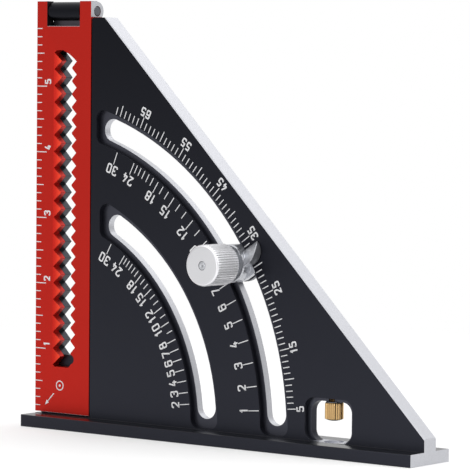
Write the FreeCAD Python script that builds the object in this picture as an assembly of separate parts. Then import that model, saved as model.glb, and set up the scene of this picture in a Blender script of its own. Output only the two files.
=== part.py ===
import FreeCAD, Part
import math
import os

# Folding layout square: a triangular plate on a T fence, with a folding rule arm
# on its left edge, two arc slots with an angle stop in the outer one, and a brass
# thumbscrew in a window above the fence. Millimetres, +Z up.
# The origin is the pivot corner: the plate's left edge meets the fence's top face
# at the plate's front face. X runs along the fence and Y from front to back.

INCH = 25.4
# How far a cutting shape runs past the faces that it cuts
OVER = 1.0

# Plate and fence
PLATE_T = 7.2
FENCE_L = 183.3
FENCE_T = 4.6
FLANGE_FRONT = 8.6
FLANGE_REAR = 8.6
FENCE_ROUND = 0.4
PLATE_END_H = 4.8
PLATE_TOP_W = 6.8
PLATE_CORNER_R = 1.0
HYPOTENUSE_CHAMFER = 0.4
# The floors of the arm's recess and of the window stand this much above the fence's flanges
FLOOR_STEP = 0.1

# Folding arm and its recess
ARM_W = 27.4
ARM_BOTTOM = 0.75
ARM_REAR_GAP = 0.1
RECESS_DEPTH = 3.6
RECESS_SIDE_GAP = 0.5

# Hinge at the top of the arm
PIN_D = 4.0
PIN_FIT = 0.05
PIN_CHAMFER = 0.35
PIN_ABOVE_PLATE = 2.45
PRONG_PROUD = 0.3
PRONG_LEFT_W = 5.1
PRONG_RIGHT_W = 5.7
KNUCKLE_ROOM = 2.1
HINGE_WASHER_T = 0.4
HINGE_WASHER_D = 6.4
HINGE_SIDE_PLAY = 0.05
STOP_GAP = 0.1

# Scribing slot: V teeth each quarter inch at the left, a finer zigzag each 5 mm at the right
TOOTH_PITCH = INCH / 4
TOOTH_ROOT_X = 8.8
TOOTH_TIP_FLAT = 0.15
TOOTH_RISE = 0.3
TOOTH_BEVEL_FROM_X = 8.4
TOOTH_BEVEL_SLOPE = 0.22
ZIGZAG_PITCH = 5.0
ZIGZAG_CORNER_X = 17.7
ZIGZAG_CORNER_R = 0.6
ZIGZAG_FIRST_CORNER = 24.1
ZIGZAG_FREE_HEIGHT = 3.0
ARM_SLOT_BOTTOM = 18.6
ARM_SLOT_BELOW_TOP = 18.85
WEB_SLOT_LOWER_STEP = 4.6
WEB_SLOT_UPPER_STEP = 1.0
SLOT_FLOOR_TO_X = 16.9
SLOT_NOSE_FROM = (18.3, 1.5)
SLOT_NOSE = (19.65, 3.05)
SLOT_CEILING_TO_X = 13.4
SLOT_SHOULDER_BULGE = 0.4

# Arc slots about the pivot corner, each stepped at the front and at the rear
OUTER_SLOT_INSET = 16.3
SLOT_SPACING = 32.7
SLOT_W = 8.6
SLOT_ABOVE_FENCE = 3.9
OUTER_SLOT_SIDE_GAP = 5.05
INNER_SLOT_SIDE_GAP = 7.25
POCKET_ABOVE_FENCE = 0.4
OUTER_POCKET_SIDE_GAP = 2.5
INNER_POCKET_SIDE_GAP = 4.4
POCKET_CORNER_R = 3.5
FRONT_POCKET_W = 12.7
FRONT_POCKET_DEPTH = 2.05
REAR_POCKET_W = 14.6
REAR_POCKET_DEPTH = 2.05

# Angle stop: bolt, pointer, washer and knurled knob
STOP_ANGLE = 32.6
READING_OFFSET = 0.85
STOP_PLAY = 0.05
BOLT_HEAD_SIDE_PLAY = 0.3
BOLT_HEAD_INSET = 0.1
BOLT_NECK_SIDE_PLAY = 0.2
BOLT_THREAD_D = 4.0
THREAD_PLAY = 0.05
BOLT_END_INSET = 2.4
COLLAR_R = 7.1
COLLAR_H = 4.2
COLLAR_FLAT = 6.3
COLLAR_CHAMFER = 0.4
KEY_SIDE_PLAY = 0.15
KEY_LOWER = 7.4
FIN_LENGTH = 13.35
FIN_NOSE_R = 5.4
FIN_LOWER = 4.7
FIN_H = 5.0
FIN_EDGE_H = 0.25
FIN_LIFT = 0.1
FIN_MID_SWEEP = 45
FIN_RAMP_BULGE = 0.63
STOP_WASHER_D = 10.5
STOP_WASHER_T = 1.0
KNOB_D = 15.2
KNOB_L = 12.7
KNOB_CHAMFER = 0.4
KNOB_RIBS = 50
KNOB_RIB_DEPTH = 0.3
KNOB_HUB_D = 9.0
KNOB_HUB_L = 2.1
KNOB_FACE_HOLE_D = 3.3
KNOB_LIP_T = 1.8

# Window, stepped like the slots, and the brass thumbscrew in it
WINDOW_BEYOND_SLOT = 15.65
WINDOW_W = 17.9
WINDOW_H = 14.8
WINDOW_STEP_SIDE = 1.75
WINDOW_STEP_TOP = 1.2
WINDOW_CORNER_R = 4.0
THUMB_HEAD_D = 6.8
THUMB_HEAD_L = 6.7
THUMB_DOME_H = 0.8
THUMB_RIBS = 24
THUMB_RIB_DEPTH = 0.2
THUMB_THREAD_D = 4.0
THUMB_THREAD_L = 15.0
THUMB_WASHER_D = 6.0
THUMB_WASHER_T = 0.3
THUMB_SEAT_PLAY = 0.05
THUMB_HOLE_SPARE = 1.0
FENCE_HOLE_PLAY = 0.2

# Places that follow from the sizes above
ARM_T = RECESS_DEPTH - ARM_REAR_GAP
ARM_SIDE_X = ARM_W + RECESS_SIDE_GAP
TOOTH_TIP_X = TOOTH_ROOT_X + (TOOTH_PITCH - TOOTH_TIP_FLAT) / 2
HYPOTENUSE_SUM = FENCE_L + PLATE_END_H
PLATE_TOP = HYPOTENUSE_SUM - ARM_SIDE_X - PLATE_TOP_W
KNUCKLE_R = PLATE_T - RECESS_DEPTH
HINGE_DROP = KNUCKLE_R + PRONG_PROUD
PIN_Y = RECESS_DEPTH
PIN_Z = PLATE_TOP + PIN_ABOVE_PLATE
ARM_TOP = PIN_Z + HINGE_DROP
WEB_TOP = PIN_Z - HINGE_DROP - STOP_GAP
KNUCKLE_FROM = PRONG_LEFT_W + HINGE_WASHER_T + 2 * HINGE_SIDE_PLAY
KNUCKLE_TO = ARM_W - PRONG_RIGHT_W - HINGE_WASHER_T - 2 * HINGE_SIDE_PLAY
HINGE_WINDOW_Z = PIN_Z - KNUCKLE_R - KNUCKLE_ROOM
ARM_SLOT_TOP = ARM_TOP - ARM_SLOT_BELOW_TOP
WEB_SLOT_BOTTOM = ARM_SLOT_BOTTOM + WEB_SLOT_LOWER_STEP
WEB_SLOT_TOP = ARM_SLOT_TOP - WEB_SLOT_UPPER_STEP
OUTER_SLOT_RADIUS = HYPOTENUSE_SUM / math.sqrt(2) - OUTER_SLOT_INSET
INNER_SLOT_RADIUS = OUTER_SLOT_RADIUS - SLOT_SPACING
BOLT_HEAD_D = REAR_POCKET_W - 2 * BOLT_HEAD_SIDE_PLAY
BOLT_HEAD_T = REAR_POCKET_DEPTH - STOP_PLAY - BOLT_HEAD_INSET
BOLT_NECK_W = SLOT_W - 2 * BOLT_NECK_SIDE_PLAY
KNOB_REAR_Y = -COLLAR_H - STOP_WASHER_T - 2 * STOP_PLAY - KNOB_HUB_L
KNOB_FACE_Y = KNOB_REAR_Y - KNOB_L
WINDOW_FROM = OUTER_SLOT_RADIUS + WINDOW_BEYOND_SLOT
SCREW_X = WINDOW_FROM + WINDOW_W / 2
SCREW_Y = PLATE_T / 2
THUMB_TOP_Z = WINDOW_H - THUMB_WASHER_T - 2 * THUMB_SEAT_PLAY


def vec(x, y, z):
    return FreeCAD.Vector(x, y, z)


def box(x0, x1, y0, y1, z0, z1):
    return Part.makeBox(x1 - x0, y1 - y0, z1 - z0, vec(x0, y0, z0))


def line(start, end):
    return Part.LineSegment(start, end).toShape()


def polar(rho, degrees, y=0.0):
    """A point at radius rho and an angle above the fence, about the pivot corner."""
    turn = math.radians(degrees)
    return vec(rho * math.cos(turn), y, rho * math.sin(turn))


def slab(edges, y0, y1):
    """A closed outline drawn at y = 0, as a slab from y0 to y1."""
    face = Part.Face(Part.Wire(edges))
    face.translate(vec(0, y0, 0))
    return face.extrude(vec(0, y1 - y0, 0))


def polygon_slab(points, y0, y1):
    """A slab from y0 to y1 with straight sides through (x, z) points."""
    corners = [vec(x, 0, z) for x, z in points]
    wire = Part.makePolygon(corners + [corners[0]])
    return slab(wire.Edges, y0, y1)


def rod(radius, start, end):
    """A round bar between two points."""
    along = end - start
    return Part.makeCylinder(radius, along.Length, start, along)


def ring(outer_d, inner_d, start, end):
    """A washer between two points on its axis."""
    return rod(outer_d / 2, start, end).cut(rod(inner_d / 2, start, end))


def arc_slot(rho, width, start, stop, y0, y1):
    """An arc slot about the pivot corner, with round ends centred at two angles."""
    half = width / 2
    middle = (start + stop) / 2
    first = polar(rho, start)
    last = polar(rho, stop)
    first_tip = first + polar(half, start - 90)
    last_tip = last + polar(half, stop + 90)
    outer = Part.Arc(polar(rho + half, start), polar(rho + half, middle), polar(rho + half, stop))
    inner = Part.Arc(polar(rho - half, stop), polar(rho - half, middle), polar(rho - half, start))
    last_end = Part.Arc(polar(rho + half, stop), last_tip, polar(rho - half, stop))
    first_end = Part.Arc(polar(rho - half, start), first_tip, polar(rho + half, start))
    edges = [outer.toShape(), last_end.toShape(), inner.toShape(), first_end.toShape()]
    return slab(edges, y0, y1)


def upright_edges(shape):
    """The edges of a slab that run from front to back."""
    return [e for e in shape.Edges if abs(e.tangentAt(e.FirstParameter).y) > 0.5]


def pocket(rho, width, side_gap, y0, y1):
    """A band along a slot that ends upright beside the arm and level above the fence."""
    sides = []
    for radius in (rho - width / 2, rho + width / 2):
        start = math.degrees(math.asin(POCKET_ABOVE_FENCE / radius))
        stop = math.degrees(math.acos((ARM_SIDE_X + side_gap) / radius))
        sides.append([polar(radius, start), polar(radius, (start + stop) / 2), polar(radius, stop)])
    inner, outer = sides
    edges = [
        Part.Arc(*outer).toShape(),
        line(outer[2], inner[2]),
        Part.Arc(*inner[::-1]).toShape(),
        line(inner[0], outer[0]),
    ]
    band = slab(edges, y0, y1)
    return band.makeFillet(POCKET_CORNER_R, upright_edges(band))


def stepped_slot(rho, slot_gap, pocket_gap):
    """A through slot with round ends, inside a wider pocket at the front and at the rear."""
    half = SLOT_W / 2
    start = math.degrees(math.asin((SLOT_ABOVE_FENCE + half) / rho))
    stop = math.degrees(math.acos((ARM_SIDE_X + slot_gap + half) / rho))
    through = arc_slot(rho, SLOT_W, start, stop, -OVER, PLATE_T + OVER)
    front = pocket(rho, FRONT_POCKET_W, pocket_gap, -OVER, FRONT_POCKET_DEPTH)
    rear = pocket(rho, REAR_POCKET_W, pocket_gap, PLATE_T - REAR_POCKET_DEPTH, PLATE_T + OVER)
    return through.fuse([front, rear])


def tooth_side(bottom, top):
    """Points up the toothed side: 45 degree flanks between sharp roots and narrow tips."""
    corners = []
    first = math.floor((bottom - TOOTH_RISE) / TOOTH_PITCH)
    last = math.ceil((top - TOOTH_RISE) / TOOTH_PITCH)
    for k in range(first, last + 1):
        root = k * TOOTH_PITCH + TOOTH_RISE
        tip = root + TOOTH_PITCH / 2
        corners.append((TOOTH_ROOT_X, root))
        corners.append((TOOTH_TIP_X, tip - TOOTH_TIP_FLAT / 2))
        corners.append((TOOTH_TIP_X, tip + TOOTH_TIP_FLAT / 2))
    inside = [c for c in corners if bottom < c[1] < top]

    def edge_x(z):
        steps = (z - TOOTH_RISE) / TOOTH_PITCH
        return min(TOOTH_ROOT_X + abs(steps - round(steps)) * TOOTH_PITCH, TOOTH_TIP_X)

    return [(edge_x(bottom), bottom)] + inside + [(edge_x(top), top)]


def zigzag_corner(z):
    """Lower end, crown and upper end of one rounded corner of the finer zigzag."""
    reach = ZIGZAG_CORNER_R * math.sqrt(0.5)
    crown = ZIGZAG_CORNER_R * (math.sqrt(2) - 1)
    side_x = ZIGZAG_CORNER_X + reach
    return vec(side_x, 0, z - reach), vec(ZIGZAG_CORNER_X + crown, 0, z), vec(side_x, 0, z + reach)


def scribing_slot(bottom, top, y0, y1):
    """The slot between the V teeth at the left and the finer zigzag at the right."""
    left = [vec(x, 0, z) for x, z in tooth_side(bottom, top)]
    first = math.ceil((bottom + ZIGZAG_FREE_HEIGHT - ZIGZAG_FIRST_CORNER) / ZIGZAG_PITCH)
    last = math.floor((top - ZIGZAG_FREE_HEIGHT - ZIGZAG_FIRST_CORNER) / ZIGZAG_PITCH)
    corners = [zigzag_corner(ZIGZAG_FIRST_CORNER + k * ZIGZAG_PITCH) for k in range(first, last + 1)]
    notch_x = ZIGZAG_CORNER_X + ZIGZAG_PITCH / 2
    floor_end = vec(SLOT_FLOOR_TO_X, 0, bottom)
    nose_from = vec(SLOT_NOSE_FROM[0], 0, bottom + SLOT_NOSE_FROM[1])
    nose = vec(SLOT_NOSE[0], 0, bottom + SLOT_NOSE[1])
    right = [line(left[0], floor_end), line(floor_end, nose_from)]
    right.append(Part.Arc(nose_from, nose, corners[0][0]).toShape())
    for low, crown, high in corners:
        if low.z > corners[0][0].z:
            right.append(line(notch, low))
        notch = vec(notch_x, 0, crown.z + ZIGZAG_PITCH / 2)
        right.append(Part.Arc(low, crown, high).toShape())
        right.append(line(high, notch))
    ceiling_end = vec(SLOT_CEILING_TO_X, 0, top)
    shoulder = (notch + ceiling_end) * 0.5 + vec(0, 0, SLOT_SHOULDER_BULGE)
    right.append(Part.Arc(notch, shoulder, ceiling_end).toShape())
    right.append(line(ceiling_end, left[-1]))
    teeth = [line(a, b) for a, b in zip(left, left[1:])]
    return slab(teeth + right[::-1], y0, y1)


def tooth_bevel(bottom, top):
    """The wedge that slopes the front of the teeth backwards towards their tips."""
    length = SLOT_CEILING_TO_X - TOOTH_BEVEL_FROM_X
    profile = Part.makePolygon([
        vec(TOOTH_BEVEL_FROM_X, 0, bottom),
        vec(TOOTH_BEVEL_FROM_X, -OVER, bottom),
        vec(SLOT_CEILING_TO_X, -OVER, bottom),
        vec(SLOT_CEILING_TO_X, length * TOOTH_BEVEL_SLOPE, bottom),
        vec(TOOTH_BEVEL_FROM_X, 0, bottom),
    ])
    return Part.Face(profile).extrude(vec(0, 0, top - bottom))


def fence():
    """The T fence, with its long edges and end edges slightly rounded."""
    bar = box(0, FENCE_L, -FLANGE_FRONT, PLATE_T + FLANGE_REAR, -FENCE_T, 0)
    sharp = [e for e in bar.Edges if abs(e.tangentAt(e.FirstParameter).y) < 0.5]
    return bar.makeFillet(FENCE_ROUND, sharp)


def is_sloping(edge):
    """True for an edge that runs at 45 degrees between the fence and the plate's top."""
    along = edge.tangentAt(edge.FirstParameter)
    return abs(abs(along.x) - abs(along.z)) < 0.01 and abs(along.y) < 0.01


def plate():
    """The triangle to the right of the arm's recess, with its long edge chamfered."""
    outline = [
        (ARM_SIDE_X, 0),
        (FENCE_L, 0),
        (FENCE_L, HYPOTENUSE_SUM - FENCE_L),
        (HYPOTENUSE_SUM - PLATE_TOP, PLATE_TOP),
        (ARM_SIDE_X, PLATE_TOP),
    ]
    shape = polygon_slab(outline, 0, PLATE_T)
    corner = [
        e for e in shape.Edges
        if abs(e.BoundBox.XMin - ARM_SIDE_X) < 0.01
        and abs(e.BoundBox.XMax - ARM_SIDE_X) < 0.01
        and e.BoundBox.ZMin > PLATE_TOP - 0.01
    ]
    shape = shape.makeFillet(PLATE_CORNER_R, corner)
    sloping = [e for e in shape.Edges if e.Length > FENCE_L / 2 and is_sloping(e)]
    return shape.makeChamfer(HYPOTENUSE_CHAMFER, sloping)


def hinge_knuckle():
    """The knuckle that stands up from the web between the arm's two prongs."""
    barrel = rod(KNUCKLE_R, vec(KNUCKLE_FROM, PIN_Y, PIN_Z), vec(KNUCKLE_TO, PIN_Y, PIN_Z))
    neck = box(KNUCKLE_FROM, KNUCKLE_TO, RECESS_DEPTH, PLATE_T, WEB_TOP - OVER, PIN_Z)
    shoulder_from = PRONG_LEFT_W + HINGE_SIDE_PLAY
    shoulder_to = ARM_W - PRONG_RIGHT_W - HINGE_SIDE_PLAY
    shoulder_top = PIN_Z - HINGE_WASHER_D / 2 - HINGE_SIDE_PLAY
    shoulder = box(shoulder_from, shoulder_to, RECESS_DEPTH, PLATE_T, WEB_TOP - OVER, shoulder_top)
    return barrel.fuse([neck, shoulder])


def rounded_opening(x0, x1, y0, y1, top):
    """An opening with four round corners that stands on the window's floor."""
    opening = box(x0, x1, y0, y1, FLOOR_STEP, top)
    return opening.makeFillet(WINDOW_CORNER_R, upright_edges(opening))


def window():
    """The window that the thumbscrew's head hangs in, with a step at the front and at the rear."""
    x0 = WINDOW_FROM
    x1 = WINDOW_FROM + WINDOW_W
    wide_x0 = x0 - WINDOW_STEP_SIDE
    wide_x1 = x1 + WINDOW_STEP_SIDE
    wide_top = WINDOW_H + WINDOW_STEP_TOP
    through = rounded_opening(x0, x1, -OVER, PLATE_T + OVER, WINDOW_H)
    front = rounded_opening(wide_x0, wide_x1, -OVER, FRONT_POCKET_DEPTH, wide_top)
    rear = rounded_opening(
        wide_x0, wide_x1, PLATE_T - REAR_POCKET_DEPTH, PLATE_T + OVER, wide_top)
    return through.fuse([front, rear])


def square_body():
    """The plate, web, knuckle and fence in one piece, with all its slots and holes."""
    web = box(0, ARM_SIDE_X + OVER, RECESS_DEPTH, PLATE_T, 0, WEB_TOP)
    recess_floor = box(0, ARM_SIDE_X + OVER, 0, RECESS_DEPTH + OVER, 0, FLOOR_STEP)
    body = fence().fuse([plate(), web, recess_floor, hinge_knuckle()])
    pin_hole = rod(PIN_D / 2 + PIN_FIT, vec(0, PIN_Y, PIN_Z), vec(ARM_W, PIN_Y, PIN_Z))
    thread_top = WINDOW_H + THUMB_THREAD_L + THUMB_HOLE_SPARE
    thread_hole = rod(
        THUMB_THREAD_D / 2 + THREAD_PLAY,
        vec(SCREW_X, SCREW_Y, WINDOW_H - OVER),
        vec(SCREW_X, SCREW_Y, thread_top),
    )
    fence_hole = rod(
        THUMB_HEAD_D / 2 + FENCE_HOLE_PLAY,
        vec(SCREW_X, SCREW_Y, -FENCE_T - OVER),
        vec(SCREW_X, SCREW_Y, FLOOR_STEP + OVER),
    )
    cuts = [
        stepped_slot(OUTER_SLOT_RADIUS, OUTER_SLOT_SIDE_GAP, OUTER_POCKET_SIDE_GAP),
        stepped_slot(INNER_SLOT_RADIUS, INNER_SLOT_SIDE_GAP, INNER_POCKET_SIDE_GAP),
        scribing_slot(WEB_SLOT_BOTTOM, WEB_SLOT_TOP, RECESS_DEPTH - OVER, PLATE_T + OVER),
        window(),
        pin_hole,
        thread_hole,
        fence_hole,
    ]
    return body.cut(cuts).removeSplitter()


def prong(x0, x1):
    """A prong: square at the front top, which is its stop when open, round at the rear."""
    lower = box(x0, x1, 0, ARM_T, HINGE_WINDOW_Z, PIN_Z)
    upper = box(x0, x1, 0, PIN_Y, PIN_Z, ARM_TOP)
    barrel = rod(KNUCKLE_R, vec(x0, PIN_Y, PIN_Z), vec(x1, PIN_Y, PIN_Z))
    return lower.fuse([upper, barrel])


def folding_arm():
    """The flat arm with its two prongs and the scribing slot."""
    strip = box(0, ARM_W, 0, ARM_T, ARM_BOTTOM, HINGE_WINDOW_Z)
    prongs = [prong(0, PRONG_LEFT_W), prong(ARM_W - PRONG_RIGHT_W, ARM_W)]
    arm = strip.fuse(prongs)
    pin_hole = rod(PIN_D / 2, vec(-OVER, PIN_Y, PIN_Z), vec(ARM_W + OVER, PIN_Y, PIN_Z))
    slot = scribing_slot(ARM_SLOT_BOTTOM, ARM_SLOT_TOP, -OVER, ARM_T + OVER)
    bevel = tooth_bevel(ARM_SLOT_BOTTOM, ARM_SLOT_TOP)
    return arm.cut([pin_hole, slot, bevel]).removeSplitter()


def hinge_pin():
    """The pin that is pressed into both prongs, with its ends chamfered."""
    pin = rod(PIN_D / 2, vec(0, PIN_Y, PIN_Z), vec(ARM_W, PIN_Y, PIN_Z))
    ends = [e for e in pin.Edges if e.isClosed()]
    return pin.makeChamfer(PIN_CHAMFER, ends)


def hinge_washers():
    """The two thin spring washers that give the hinge its friction."""
    starts = [PRONG_LEFT_W + HINGE_SIDE_PLAY, KNUCKLE_TO + HINGE_SIDE_PLAY]
    inner_d = PIN_D + 2 * PIN_FIT
    rings = []
    for x in starts:
        rings.append(ring(HINGE_WASHER_D, inner_d, vec(x, PIN_Y, PIN_Z), vec(x + HINGE_WASHER_T, PIN_Y, PIN_Z)))
    return Part.makeCompound(rings)


def at_stop(shape):
    """Carries a stop piece, drawn on the slot's radius at angle 0, to its place."""
    shape.rotate(vec(0, 0, 0), vec(0, -1, 0), STOP_ANGLE)
    return shape


def on_stop(along, across, y):
    """A point of the stop: along the radius and across it, from the stop's axis."""
    return vec(OUTER_SLOT_RADIUS + along, y, across)


def stop_bolt():
    """Round head in the rear pocket, square neck in the slot, threaded shank forwards."""
    head_y = PLATE_T - REAR_POCKET_DEPTH + STOP_PLAY
    head = rod(BOLT_HEAD_D / 2, on_stop(0, 0, head_y), on_stop(0, 0, head_y + BOLT_HEAD_T))
    half = BOLT_NECK_W / 2
    neck = box(
        OUTER_SLOT_RADIUS - half, OUTER_SLOT_RADIUS + half, FRONT_POCKET_DEPTH, head_y, -half, half)
    shank = rod(BOLT_THREAD_D / 2, on_stop(0, 0, head_y), on_stop(0, 0, KNOB_FACE_Y + BOLT_END_INSET))
    return at_stop(head.fuse([neck, shank]).removeSplitter())


def pointer_key():
    """The part of the pointer that slides in the front pocket and keeps it radial."""
    spread = math.degrees(2 * COLLAR_R / OUTER_SLOT_RADIUS)
    width = FRONT_POCKET_W - 2 * KEY_SIDE_PLAY
    band = arc_slot(OUTER_SLOT_RADIUS, width, -spread, spread, 0, FRONT_POCKET_DEPTH - STOP_PLAY)
    disc = rod(COLLAR_R, on_stop(0, 0, 0), on_stop(0, 0, FRONT_POCKET_DEPTH))
    foot = box(
        OUTER_SLOT_RADIUS, OUTER_SLOT_RADIUS + width, 0, FRONT_POCKET_DEPTH, -KEY_LOWER, 0)
    return band.common(disc.fuse(foot))


def pointer_fin():
    """The curved blade: its top edge is the reading edge, and its face slopes to that edge."""
    reading = math.radians(READING_OFFSET)
    nose_along = FIN_LENGTH - FIN_NOSE_R
    nose_across = FIN_NOSE_R - FIN_LOWER
    root_across = OUTER_SLOT_RADIUS * math.sin(reading)
    tip_across = (OUTER_SLOT_RADIUS + FIN_LENGTH) * math.sin(reading)
    tip_along = nose_along + math.sqrt(FIN_NOSE_R ** 2 - (tip_across - nose_across) ** 2)
    sweep = math.radians(FIN_MID_SWEEP)
    tip = on_stop(tip_along, tip_across, 0)
    belly = on_stop(
        nose_along + FIN_NOSE_R * math.sin(sweep), nose_across - FIN_NOSE_R * math.cos(sweep), 0)
    chin = on_stop(nose_along, -FIN_LOWER, 0)
    heel = on_stop(0, -FIN_LOWER, 0)
    root = on_stop(0, root_across, 0)
    edges = [
        line(root, tip),
        Part.Arc(tip, belly, chin).toShape(),
        line(chin, heel),
        line(heel, root),
    ]
    blade = slab(edges, -FIN_H, -FIN_LIFT)
    ramp_top = vec(0, -FIN_EDGE_H, tip_across)
    ramp_low = vec(0, -FIN_H, -FIN_LOWER)
    chord = ramp_low - ramp_top
    outward = vec(0, chord.z, -chord.y).normalize()
    ramp_mid = (ramp_top + ramp_low) * 0.5 + outward * FIN_RAMP_BULGE
    profile = Part.Wire([
        Part.Arc(ramp_top, ramp_mid, ramp_low).toShape(),
        line(ramp_low, vec(0, 0, -FIN_LOWER)),
        line(vec(0, 0, -FIN_LOWER), vec(0, 0, tip_across)),
        line(vec(0, 0, tip_across), ramp_top),
    ])
    ramp = Part.Face(profile)
    ramp.translate(vec(OUTER_SLOT_RADIUS, 0, 0))
    return blade.common(ramp.extrude(vec(FIN_LENGTH, 0, 0)))


def pointer():
    """Collar, fin and key in one casting, bored for the bolt."""
    collar = rod(COLLAR_R, on_stop(0, 0, -COLLAR_H), on_stop(0, 0, 0))
    rim = [e for e in collar.Edges if e.isClosed() and e.BoundBox.YMax < -COLLAR_H / 2]
    collar = collar.makeChamfer(COLLAR_CHAMFER, rim)
    flat = box(
        OUTER_SLOT_RADIUS + COLLAR_FLAT, OUTER_SLOT_RADIUS + 2 * COLLAR_R,
        -COLLAR_H, 0, 0, COLLAR_R)
    above = rod(COLLAR_R, on_stop(0, 0, -COLLAR_H), on_stop(0, 0, -FIN_H - OVER))
    body = collar.cut(flat).fuse([pointer_fin().cut(above), pointer_key()])
    hole = rod(
        BOLT_THREAD_D / 2 + THREAD_PLAY,
        on_stop(0, 0, -FIN_H - OVER), on_stop(0, 0, FRONT_POCKET_DEPTH + OVER))
    return at_stop(body.cut(hole).removeSplitter())


def stop_washer():
    """The plain washer between the collar and the knob's hub."""
    rear = -COLLAR_H - STOP_PLAY
    inner_d = BOLT_THREAD_D + 2 * THREAD_PLAY
    return at_stop(ring(STOP_WASHER_D, inner_d, on_stop(0, 0, rear - STOP_WASHER_T), on_stop(0, 0, rear)))


def ribbed_bar(radius, depth, ribs, length):
    """A bar along +Z with straight V ribs round it."""
    points = []
    for k in range(ribs):
        for half, r in ((0.0, radius), (0.5, radius - depth)):
            turn = 2 * math.pi * (k + half) / ribs
            points.append(vec(r * math.cos(turn), r * math.sin(turn), 0))
    face = Part.Face(Part.makePolygon(points + [points[0]]))
    return face.extrude(vec(0, 0, length))


def turned(profile):
    """A solid turned about Z from (radius, z) points."""
    points = [vec(r, 0, z) for r, z in profile]
    face = Part.Face(Part.makePolygon(points + [points[0]]))
    return face.revolve(vec(0, 0, 0), vec(0, 0, 1), 360)


def knob():
    """The knurled knob with its hub, tapped from the rear and open at the face."""
    radius = KNOB_D / 2
    inset = radius - KNOB_CHAMFER
    envelope = turned([
        (0, 0),
        (inset, 0),
        (radius, KNOB_CHAMFER),
        (radius, KNOB_L - KNOB_CHAMFER),
        (inset, KNOB_L),
        (0, KNOB_L),
    ])
    grip = ribbed_bar(radius, KNOB_RIB_DEPTH, KNOB_RIBS, KNOB_L).common(envelope)
    hub = Part.makeCylinder(KNOB_HUB_D / 2, KNOB_HUB_L, vec(0, 0, KNOB_L))
    face_hole = Part.makeCylinder(KNOB_FACE_HOLE_D / 2, KNOB_L)
    bore_r = BOLT_THREAD_D / 2 + THREAD_PLAY
    bore = Part.makeCylinder(bore_r, KNOB_L + KNOB_HUB_L, vec(0, 0, KNOB_LIP_T))
    shape = grip.fuse(hub).cut([face_hole, bore]).removeSplitter()
    shape.rotate(vec(0, 0, 0), vec(1, 0, 0), -90)
    shape.translate(on_stop(0, 0, KNOB_FACE_Y))
    return at_stop(shape)


def thumbscrew():
    """The brass thumbscrew: ribbed head with a domed end, thread upwards into the plate."""
    radius = THUMB_HEAD_D / 2
    low = THUMB_TOP_Z - THUMB_HEAD_L
    dome_r = (radius ** 2 + THUMB_DOME_H ** 2) / (2 * THUMB_DOME_H)
    ball = Part.makeSphere(dome_r, vec(0, 0, low + dome_r))
    head = ribbed_bar(radius, THUMB_RIB_DEPTH, THUMB_RIBS, THUMB_HEAD_L)
    head.translate(vec(0, 0, low))
    head = head.common(ball)
    shank = Part.makeCylinder(
        THUMB_THREAD_D / 2, THUMB_THREAD_L + WINDOW_H - THUMB_TOP_Z, vec(0, 0, THUMB_TOP_Z))
    shape = head.fuse(shank).removeSplitter()
    shape.translate(vec(SCREW_X, SCREW_Y, 0))
    return shape


def thumbscrew_washer():
    """The thin washer between the thumbscrew's head and the top of the window."""
    low = THUMB_TOP_Z + THUMB_SEAT_PLAY
    inner_d = THUMB_THREAD_D + 2 * THREAD_PLAY
    return ring(
        THUMB_WASHER_D, inner_d, vec(SCREW_X, SCREW_Y, low), vec(SCREW_X, SCREW_Y, low + THUMB_WASHER_T))


PIECES = {
    "square_body": square_body,
    "folding_arm": folding_arm,
    "hinge_pin": hinge_pin,
    "hinge_washers": hinge_washers,
    "stop_bolt": stop_bolt,
    "pointer": pointer,
    "stop_washer": stop_washer,
    "knob": knob,
    "thumbscrew": thumbscrew,
    "thumbscrew_washer": thumbscrew_washer,
}


def main():
    os.makedirs("parts", exist_ok=True)
    for name, make in PIECES.items():
        shape = make()
        shape.exportStep("parts/" + name + ".step")
        solids = len(shape.Solids)
        print(name, "solids", solids, "valid", shape.isValid(), "volume", round(shape.Volume, 2))
    print("hinge pin at Y", PIN_Y, "Z", round(PIN_Z, 3))
    print("knob face at Y", round(KNOB_FACE_Y, 3))
    print("thumbscrew axis at X", round(SCREW_X, 3), "Y", SCREW_Y)


main()
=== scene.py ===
import math

import bpy
import numpy as np
from mathutils import Matrix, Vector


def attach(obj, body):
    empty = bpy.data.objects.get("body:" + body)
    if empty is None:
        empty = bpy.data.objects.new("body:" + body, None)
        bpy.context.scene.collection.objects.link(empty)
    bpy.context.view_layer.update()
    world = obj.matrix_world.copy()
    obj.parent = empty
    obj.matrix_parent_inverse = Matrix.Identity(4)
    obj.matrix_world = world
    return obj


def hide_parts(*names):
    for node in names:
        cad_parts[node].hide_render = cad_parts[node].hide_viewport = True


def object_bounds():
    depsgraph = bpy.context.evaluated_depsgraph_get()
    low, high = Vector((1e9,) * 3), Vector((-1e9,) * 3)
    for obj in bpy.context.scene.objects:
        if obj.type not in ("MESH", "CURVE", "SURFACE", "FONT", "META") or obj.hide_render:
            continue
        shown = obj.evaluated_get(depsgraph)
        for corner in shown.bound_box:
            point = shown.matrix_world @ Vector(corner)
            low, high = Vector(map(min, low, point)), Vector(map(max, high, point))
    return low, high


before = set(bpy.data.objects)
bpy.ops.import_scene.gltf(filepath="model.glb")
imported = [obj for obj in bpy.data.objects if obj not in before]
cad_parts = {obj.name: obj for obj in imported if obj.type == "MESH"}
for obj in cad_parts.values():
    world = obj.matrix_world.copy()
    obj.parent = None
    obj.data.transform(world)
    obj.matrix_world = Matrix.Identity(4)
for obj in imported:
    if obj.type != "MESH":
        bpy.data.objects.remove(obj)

CAD_BOX = [list(corner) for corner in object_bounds()]

bl_info = {
    "name": "Folding layout square",
    "version": (1, 0, 0),
    "blender": (4, 5, 0),
    "location": "3D View > Sidebar > Layout square",
    "description": "Finishes, engraved scales and studio for the folding layout square",
    "category": "Object",
}

MM = 0.001
INCH = 25.4

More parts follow.
